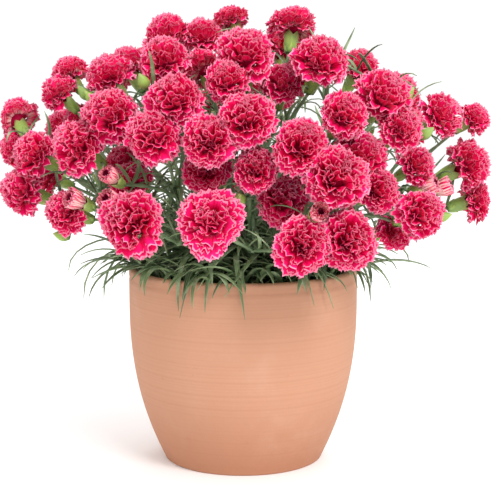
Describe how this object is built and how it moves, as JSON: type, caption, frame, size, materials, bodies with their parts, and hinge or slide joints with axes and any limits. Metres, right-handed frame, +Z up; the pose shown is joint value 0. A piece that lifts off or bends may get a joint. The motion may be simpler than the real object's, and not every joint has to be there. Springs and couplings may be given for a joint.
{
  "type": "dianthus plant",
  "caption": "Dianthus plant with dense frilled raspberry-pink double flowers and narrow grey-green leaves in a plain bell-shaped terracotta pot.",
  "frame": {"origin": "on the pot's axis, on the surface that the pot stands on, below the middle of the whole plant", "axes": "+Z up along the pot's axis, -Y towards the front of the picture, +X to the viewer's right"},
  "size_m": [0.4228, 0.3565, 0.3941],
  "materials": {
    "terracotta": "matt fired clay",
    "earth": "crumbly potting soil",
    "green": "waxy grey-green leaf",
    "petals": "soft velvety petal"
  },
  "bodies": {
    "root": {"pot": "terracotta", "soil": "earth", "shoot_1": "green", "shoot_2": "green", "shoot_3": "green", "shoot_4": "green", "shoot_5": "green", "shoot_6": "green", "shoot_7": "green", "bloom_01": "petals", "bloom_02": "petals", "bloom_03": "petals", "bloom_04": "petals", "bloom_05": "petals", "bloom_06": "petals", "bloom_07": "petals", "bloom_08": "petals", "bloom_09": "petals", "bloom_10": "petals", "bloom_11": "petals", "bloom_12": "petals", "bloom_13": "petals", "bloom_14": "petals", "bloom_15": "petals", "bloom_16": "petals", "bloom_17": "petals", "bloom_18": "petals", "bloom_19": "petals", "bloom_20": "petals", "bloom_21": "petals", "bloom_22": "petals", "bloom_23": "petals", "bloom_24": "petals", "bloom_25": "petals", "bloom_26": "petals", "bloom_27": "petals", "bloom_28": "petals", "bloom_29": "petals", "bloom_30": "petals", "bloom_31": "petals", "bloom_32": "petals", "bloom_33": "petals", "bloom_34": "petals", "bloom_35": "petals", "bloom_36": "petals", "bloom_37": "petals", "bloom_38": "petals", "bloom_39": "petals", "bloom_40": "petals", "bloom_41": "petals", "bloom_42": "petals", "bloom_43": "petals", "bloom_44": "petals", "bloom_45": "petals", "bloom_46": "petals", "bloom_47": "petals", "bloom_48": "petals", "bloom_49": "petals", "bloom_50": "petals"}
  },
  "joints": []
}
